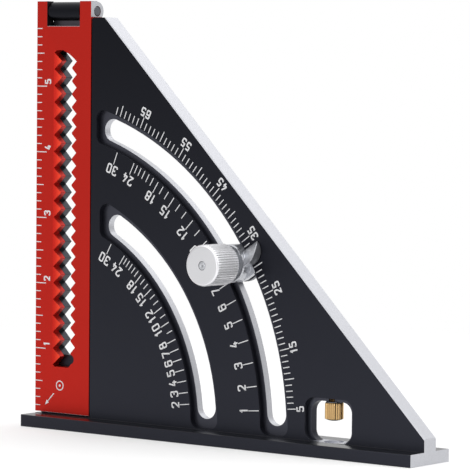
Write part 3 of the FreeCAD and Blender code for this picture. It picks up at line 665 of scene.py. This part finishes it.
def make_finishes():
    """Makes every material of the square, from what the real metals are."""
    f = bpy.context.scene.square_finishes
    FINISH["body"] = black_anodised(tuple(f.black), tuple(f.bare))
    FINISH["arm"] = red_anodised(tuple(f.red), tuple(f.bare))
    FINISH["mark"] = laser_mark(tuple(f.mark))
    FINISH["knob"] = knurled_aluminium(tuple(f.knob))
    FINISH["pointer"] = cast_aluminium(linear("c0c2c7"))
    FINISH["steel"] = turned_metal("bright_turned_steel", tuple(f.steel), 0.3)
    FINISH["pin"] = turned_metal("dark_oiled_steel", tuple(f.pin), 0.38)
    # Painted shade: the hinge's washers are bright steel, drawn nearly black for the shade between the
    # knuckle and the prongs
    FINISH["washer"] = turned_metal("dark_spring_steel", linear("2f3034"), 0.4)
    FINISH["brass"] = ribbed_brass(tuple(f.brass))


def shade_group():
    """The node group that shades a mesh smooth, up to an angle of 30 degrees between two faces."""
    tree = bpy.data.node_groups.new("shade_by_angle", "GeometryNodeTree")
    for way in ("INPUT", "OUTPUT"):
        tree.interface.new_socket(name="Geometry", in_out=way, socket_type="NodeSocketGeometry")
    start = add(tree, "NodeGroupInput")
    smooth_faces = add(tree, "GeometryNodeSetShadeSmooth", {
        "Geometry": start.outputs[0], "Shade Smooth": True}, domain="FACE")
    angle = add(tree, "GeometryNodeInputMeshEdgeAngle")
    steep = add(tree, "ShaderNodeMath", {
        0: angle.outputs[0], 1: math.radians(30)}, operation="GREATER_THAN")
    sharp_edges = add(tree, "GeometryNodeSetShadeSmooth", {
        "Geometry": smooth_faces.outputs[0], "Selection": steep.outputs[0], "Shade Smooth": False},
        domain="EDGE")
    add(tree, "NodeGroupOutput", {0: sharp_edges.outputs[0]})


def smooth(piece):
    """Shades a solid or a new piece smooth by angle."""
    shade = piece.modifiers.new("shade", "NODES")
    shade.node_group = bpy.data.node_groups["shade_by_angle"]


# The finish of each solid, and the width in mm of the broken edge that it gets. The body and the arm
# keep their edges sharp, because a broken edge folds over on their finest teeth and narrowest faces.
DRESSED = {
    "square_body": ("body", 0.0),
    "folding_arm": ("arm", 0.0),
    "hinge_pin": ("pin", 0.0),
    "hinge_washers": ("washer", 0.0),
    "stop_bolt": ("pin", 0.05),
    "pointer": ("pointer", 0.12),
    "stop_washer": ("steel", 0.08),
    "knob": ("knob", 0.03),
    "thumbscrew": ("brass", 0.03),
    "thumbscrew_washer": ("pin", 0.05),
}


class SQUARE_OT_finishes(bpy.types.Operator):
    """Gives every solid its metal, joins its loose triangles, breaks its edges and shades it smooth."""
    bl_idname = "square.finishes"
    bl_label = "Finishes of the solids"

    def execute(self, context):
        make_finishes()
        shade_group()
        for node, (finish, width) in DRESSED.items():
            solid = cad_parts[node]
            if not solid.material_slots:
                solid.data.materials.append(None)
            for holder in solid.material_slots:
                holder.material = FINISH[finish]
            weld = solid.modifiers.new("weld", "WELD")
            weld.merge_threshold = 0.002 * MM
            if width:
                bevel = solid.modifiers.new("broken_edges", "BEVEL")
                bevel.width = width * MM
                bevel.segments = 1
                bevel.limit_method = "ANGLE"
                bevel.angle_limit = math.radians(60)
                bevel.use_clamp_overlap = False
            smooth(solid)
        return {"FINISHED"}


class SQUARE_OT_ruler(bpy.types.Operator):
    """Marks the inch scale with its numbers up the arm's left edge."""
    bl_idname = "square.ruler"
    bl_label = "Inch scale on the arm"

    def execute(self, context):
        low, high, width, _ = mark_sizes()
        steps = np.arange(1, RULER_LINES + 1)
        length = np.where(steps % 8 == 0, INCH_LINE, np.where(steps % 4 == 0, HALF_INCH_LINE, EIGHTH_LINE))
        z = steps * INCH / 8
        ends = np.stack([np.stack([0 * z, z], 1), np.stack([length, z], 1)], 1)
        points, faces = lines_mesh(ends, width, low, high)
        put_mesh("ruler_lines", on_face(points), faces, FINISH["mark"], "arm")
        height = context.scene.square_marks.ruler_height / MM
        strips = []
        for inch in range(1, 6):
            foot = (INCH_NUMBER_X, inch * INCH + INCH_NUMBER_RISE)
            strips += marked_number(str(inch), height, foot, (0, 1), (-1, 0))
        points, faces = gather(strips)
        put_mesh("ruler_numbers", points, faces, FINISH["mark"], "arm")
        return {"FINISHED"}


class SQUARE_OT_pivot_mark(bpy.types.Operator):
    """Marks the arrow to the pivot corner, with a small circle and dot behind it."""
    bl_idname = "square.pivot_mark"
    bl_label = "Arrow and pivot mark"

    def execute(self, context):
        low, high, _, _ = mark_sizes()
        tail, tip = np.array([ARROW_TAIL, ARROW_TIP])
        neck = tip - (tip - tail) / np.linalg.norm(tip - tail) * HEAD_LENGTH
        shaft = ribbon([tail, neck], MARK_LINE, low, high)
        # The head is a strip one wide, whose width then falls from the neck to the tip
        head_points, head_faces = ribbon([neck, tip], 1.0, low, high)
        wide = np.repeat([HEAD_WIDTH, TIP_WIDTH], 4)
        middle = np.repeat([neck, tip], 4, axis=0)
        head_points[:, :2] = middle + (head_points[:, :2] - middle) * wide[:, None]
        turn = np.linspace(0, 2 * math.pi, 32, endpoint=False)
        circle = np.stack([np.cos(turn), np.sin(turn)], 1)
        ring = ribbon(CIRCLE_CENTRE + CIRCLE_RADIUS * circle, MARK_LINE, low, high, True)
        dot = ribbon(CIRCLE_CENTRE + DOT_RADIUS * circle, DOT_LINE, low, high, True)
        points, faces = gather([shaft, (head_points, head_faces), ring, dot])
        put_mesh("pivot_mark", on_face(points), faces, FINISH["mark"], "arm")
        return {"FINISHED"}


class SQUARE_OT_degree_scale(bpy.types.Operator):
    """Marks the degrees outside the outer slot, with a number each ten."""
    bl_idname = "square.degree_scale"
    bl_label = "Degree scale"

    def execute(self, context):
        degrees = np.arange(5, 72)
        inner = np.full(len(degrees), OUTER_SLOT_RADIUS + POCKET_HALF_WIDTH + LINE_GAP)
        outer = np.where(degrees % 5 == 0, DEGREE_LONG, DEGREE_SHORT)
        outer[0] = DEGREE_FIRST
        labels = [(str(n), n, DEGREE_FOOT if n > 5 else DEGREE_FIRST_FOOT) for n in range(5, 66, 10)]
        mark_scale("degree", degrees, inner, outer, labels, context.scene.square_marks.degree_height / MM)
        return {"FINISHED"}


class SQUARE_OT_rafter_scales(bpy.types.Operator):
    """Marks the rises of common rafters by the outer slot, and of hip rafters by the inner one. A
    line stands at the angle whose tangent is the rise over the run."""
    bl_idname = "square.rafter_scales"
    bl_label = "Rafter scales"

    def execute(self, context):
        height = context.scene.square_marks.rafter_height / MM
        for name, run, radius, first, long_end, short_end, foot in RAFTER_SCALES:
            numbered = [n for n in NUMBERED_RISES if n >= first]
            degrees = np.degrees(np.arctan2(numbered + list(PLAIN_RISES), run))
            inner = np.repeat([long_end, short_end], [len(numbered), len(PLAIN_RISES)])
            outer = np.full(len(degrees), radius - POCKET_HALF_WIDTH - LINE_GAP)
            labels = [(str(n), angle, foot) for n, angle in zip(numbered, degrees)]
            mark_scale(name, degrees, inner, outer, labels, height)
        return {"FINISHED"}


class SQUARE_OT_thumbscrew(bpy.types.Operator):
    """Turns the brass thumbscrew. At angle t and height z its radius is that of the profile, less
    the rib depth times a wave that runs once for each rib, less the thread depth times a wave that
    runs once round for each pitch of height. Each wave goes straight from 0 to 1 and back, and the
    thread's is cut off near both, which gives it flat crests and roots."""
    bl_idname = "square.thumbscrew"
    bl_label = "Brass thumbscrew"

    def execute(self, context):
        rows = thumbscrew_rows()
        around = 192
        t = np.arange(around) / around
        z, r, rib, thread = (rows[:, k:k + 1] for k in range(4))
        ribs = np.abs(2 * ((GRIP_RIBS * t) % 1) - 1)
        turns = np.abs(2 * ((z / THREAD_PITCH - t) % 1) - 1)
        reach = r - rib * ribs[None] - thread * np.clip(1.25 * turns - 0.1, 0, 1)
        x = SCREW_AXIS[0] + reach * np.cos(2 * math.pi * t)
        y = SCREW_AXIS[1] + reach * np.sin(2 * math.pi * t)
        grid = np.stack([x, y, z + 0 * x], 2).reshape(-1, 3)
        poles = [[*SCREW_AXIS, SCREW_LOW], [*SCREW_AXIS, SCREW_HIGH]]
        last = len(grid) - around
        k = np.arange(last)
        nxt = k - k % around + (k + 1) % around
        sides = [np.stack([k, nxt, nxt + around], 1), np.stack([k, nxt + around, k + around], 1)]
        j = np.arange(around)
        low_fan = np.stack([(j + 1) % around, j, 0 * j + len(grid)], 1)
        high_fan = np.stack([last + j, last + (j + 1) % around, 0 * j + len(grid) + 1], 1)
        points, faces = np.concatenate([grid, poles]), np.concatenate([*sides, low_fan, high_fan])
        piece = put_mesh("brass_thumbscrew", points, faces, FINISH["brass"], "thumbscrew")
        smooth(piece)
        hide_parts("thumbscrew")
        return {"FINISHED"}


class SQUARE_OT_knob(bpy.types.Operator):
    """Turns the knob: a plain face with a chamfer round it, which the knob's material paints bright as a
    highlight, then straight ribs that fade in and out, then the rear face, the hub and the bore."""
    bl_idname = "square.knob"
    bl_label = "Knurled knob"

    def execute(self, context):
        hole = [(FACE_THICKNESS, HOLE_RADIUS, 0), (0.1, HOLE_RADIUS, 0)]
        face = [(0, r, 0) for r in np.linspace(HOLE_RADIUS + 0.1, FACE_RADIUS, 12)]
        chamfer = [(0.06, 7.1, 0), (0.3, 7.3, 0), (0.55, 7.5, 0.06)]
        barrel = [(z, BARREL_RADIUS, KNURL_DEPTH) for z in np.linspace(1.0, BARREL_LENGTH - 0.5, 9)]
        rear = [(BARREL_LENGTH - 0.15, 7.45, 0.1), (BARREL_LENGTH, 7.2, 0)]
        hub = [(BARREL_LENGTH, HUB_RADIUS, 0), (KNOB_LENGTH, HUB_RADIUS, 0)]
        bore = [(KNOB_LENGTH, BORE_RADIUS, 0), (FACE_THICKNESS, BORE_RADIUS, 0)]
        profile = hole + face + chamfer + barrel + rear + hub + bore
        points, faces = turned_round(profile, 10 * KNOB_RIBS, KNOB_RIBS)
        piece = put_mesh("knurled_knob", points, faces, FINISH["knob"], "knob")
        smooth(piece)
        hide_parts("knob")
        return {"FINISHED"}


class SQUARE_OT_bolt_tip(bpy.types.Operator):
    """Turns the bolt's narrow tip, seen in the hole of the knob's face: a flat end with a small
    drilled dimple, a chamfer and a straight side."""
    bl_idname = "square.bolt_tip"
    bl_label = "Tip of the stop's bolt"

    def execute(self, context):
        dimple = [(0.25, 0.02, 0), (0.15, 0.35, 0), (0, 0.5, 0)]
        chamfer = [(0, TIP_RADIUS - 0.25, 0), (0.2, TIP_RADIUS - 0.02, 0)]
        side = [(0.3, TIP_RADIUS, 0), (TIP_LENGTH, TIP_RADIUS, 0), (TIP_LENGTH, 0.02, 0)]
        points, faces = turned_round(dimple + chamfer + side, 48)
        put_mesh("bolt_tip", points, faces, FINISH["steel"], "stop")
        return {"FINISHED"}


# The camera that the photograph was fitted with, in mm and degrees
FOCAL_PX = 3007.55
FRAME_PX = 470
CAMERA_AZIMUTH = 37.9326
CAMERA_PITCH = 3.1871
CAMERA_ROLL = 0.541
CAMERA_TARGET = (97.8614, 0.0, 73.2924)
CAMERA_DISTANCE = 1107.556
SENSOR = 36.0
# The soft lights, in metres: name, place, aim, size and the setting that holds the power
LIGHTS = (
    ("overhead_light", (0.35, 0.35, 1.3), (0.09, 0, 0.05), 1.4, "key_power"),
    ("side_light", (1.3, -0.1, 0.7), (0.09, 0, 0.08), 0.9, "side_power"),
    ("front_light", (-0.15, -1.1, 0.1), (0.05, 0, 0.08), 0.3, "front_power"),
)
# The floor, in metres: its middle, just under the fence, and where it starts to run out into the
# backdrop and has become it
FLOOR_CENTRE = (0.09, 0.0, CAD_BOX[0][2] - 0.02 * MM)
SWEEP_START, SWEEP_END = 0.15, 0.5


def aim(thing, right, up, back, place):
    """Turns a light or a camera by the directions of its three axes, and puts it in its place."""
    pose = np.eye(4)
    pose[:3] = np.stack([right, up, back, place], 1)
    thing.matrix_world = Matrix(pose.tolist())


def make_floor(radius):
    """White paper under the square, which runs out into the bright backdrop farther away."""
    turn = np.linspace(0, 2 * math.pi, 64, endpoint=False)
    rim = np.stack([np.cos(turn), np.sin(turn), 0 * turn], 1) * radius + FLOOR_CENTRE
    mesh = bpy.data.meshes.new("floor")
    mesh.from_pydata(rim.tolist(), [], [list(range(len(rim)))])
    material, tree, shader, place = new_material("white_paper")
    output = shader.outputs[0].links[0].to_node
    feed(tree, shader, {
        "Base Color": (*linear("f4f4f4"), 1.0), "Roughness": 0.8, "Specular IOR Level": 0.1})
    away = add(tree, "ShaderNodeVectorMath", {0: place, 1: FLOOR_CENTRE}, operation="DISTANCE")
    far = add(tree, "ShaderNodeMapRange", {
        "Value": away.outputs["Value"], "From Min": SWEEP_START, "From Max": SWEEP_END,
        "To Min": 0.3, "To Max": 1.0})
    backdrop = add(tree, "ShaderNodeEmission", {"Color": (1, 1, 1, 1), "Strength": 1.0})
    sweep = add(tree, "ShaderNodeMixShader", {
        0: far.outputs[0], 1: shader.outputs[0], 2: backdrop.outputs[0]})
    feed(tree, output, {"Surface": sweep.outputs[0]})
    mesh.materials.append(material)
    new_object("floor", mesh)


def make_sky(horizon, zenith):
    """A white sky that grows brighter from the horizon to the zenith, and is plain white behind the
    square."""
    world = bpy.data.worlds.new("studio_sky")
    world.use_nodes = True
    tree = world.node_tree
    tree.nodes.clear()
    seen = add(tree, "ShaderNodeLightPath").outputs["Is Camera Ray"]
    way = add(tree, "ShaderNodeTexCoord").outputs["Generated"]
    height = add(tree, "ShaderNodeSeparateXYZ", {0: way}).outputs[2]
    sky = add(tree, "ShaderNodeMapRange", {"Value": height, "To Min": horizon, "To Max": zenith})
    level = add(tree, "ShaderNodeMapRange", {"Value": seen, "To Min": sky.outputs[0], "To Max": 1.0})
    glow = add(tree, "ShaderNodeBackground", {"Color": (1, 1, 1, 1), "Strength": level.outputs[0]})
    add(tree, "ShaderNodeOutputWorld", {"Surface": glow.outputs[0]})
    bpy.context.scene.world = world


def soft_light(name, place, target, size, power):
    """A square area light at a place, turned to its target."""
    lamp = bpy.data.lights.new(name, "AREA")
    lamp.shape = "SQUARE"
    lamp.size = size
    lamp.energy = power
    back = np.subtract(place, target)
    back /= np.linalg.norm(back)
    right = np.cross((0, 0, 1), back)
    right /= np.linalg.norm(right)
    aim(new_object(name, lamp), right, np.cross(back, right), back, place)


def make_camera():
    """The camera of the photograph: it looks along the azimuth and down by the pitch, at its target
    from its distance, and is rolled about its line of sight."""
    azimuth, pitch, roll = np.radians((CAMERA_AZIMUTH, CAMERA_PITCH, CAMERA_ROLL))
    look = np.array([
        -np.sin(azimuth) * np.cos(pitch), np.cos(azimuth) * np.cos(pitch), -np.sin(pitch)])
    level = np.array([np.cos(azimuth), np.sin(azimuth), 0.0])
    rise = np.cross(level, look)
    right = np.cos(roll) * level + np.sin(roll) * rise
    up = -np.sin(roll) * level + np.cos(roll) * rise
    lens = bpy.data.cameras.new("camera")
    lens.sensor_width = SENSOR
    lens.lens = FOCAL_PX * SENSOR / FRAME_PX
    lens.clip_end = 50
    camera = new_object("camera", lens)
    aim(camera, right, up, -look, (np.array(CAMERA_TARGET) - look * CAMERA_DISTANCE) * MM)
    bpy.context.scene.camera = camera


class SQUARE_OT_studio(bpy.types.Operator):
    """Makes the floor, the sky, the soft lights and the camera."""
    bl_idname = "square.studio"
    bl_label = "Studio"

    def execute(self, context):
        studio = context.scene.square_studio
        make_floor(studio.floor_size)
        make_sky(studio.horizon, studio.zenith)
        context.scene.view_settings.view_transform = "Standard"
        for name, place, target, size, power in LIGHTS:
            soft_light(name, place, target, size, getattr(studio, power))
        make_camera()
        return {"FINISHED"}


class SQUARE_PT_panel(bpy.types.Panel):
    """Lists the pieces of the square and their settings."""
    bl_idname = "SQUARE_PT_panel"
    bl_label = "Layout square"
    bl_space_type = "VIEW_3D"
    bl_region_type = "UI"
    bl_category = "Layout square"

    def draw(self, context):
        for group in GROUPS:
            held = getattr(context.scene, group)
            for key in held.bl_rna.properties.keys():
                if key not in ("rna_type", "name"):
                    self.layout.prop(held, key)
        for operator in OPERATORS:
            self.layout.operator(operator.bl_idname)


GROUPS = {"square_marks": SquareMarks, "square_finishes": SquareFinishes, "square_studio": SquareStudio}
OPERATORS = (
    SQUARE_OT_finishes,
    SQUARE_OT_ruler,
    SQUARE_OT_pivot_mark,
    SQUARE_OT_degree_scale,
    SQUARE_OT_rafter_scales,
    SQUARE_OT_thumbscrew,
    SQUARE_OT_knob,
    SQUARE_OT_bolt_tip,
    SQUARE_OT_studio,
)


def register():
    """Registers the settings, the operators and the panel."""
    for group, kind in GROUPS.items():
        bpy.utils.register_class(kind)
        setattr(bpy.types.Scene, group, bpy.props.PointerProperty(type=kind))
    for kind in OPERATORS + (SQUARE_PT_panel,):
        bpy.utils.register_class(kind)


def unregister():
    """Takes out what register put in."""
    for kind in OPERATORS + (SQUARE_PT_panel,):
        bpy.utils.unregister_class(kind)
    for group, kind in GROUPS.items():
        delattr(bpy.types.Scene, group)
        bpy.utils.unregister_class(kind)


def main():
    register()
    for operator in OPERATORS:
        area, name = operator.bl_idname.split(".")
        getattr(getattr(bpy.ops, area), name)()


if __name__ == "__main__":
    main()
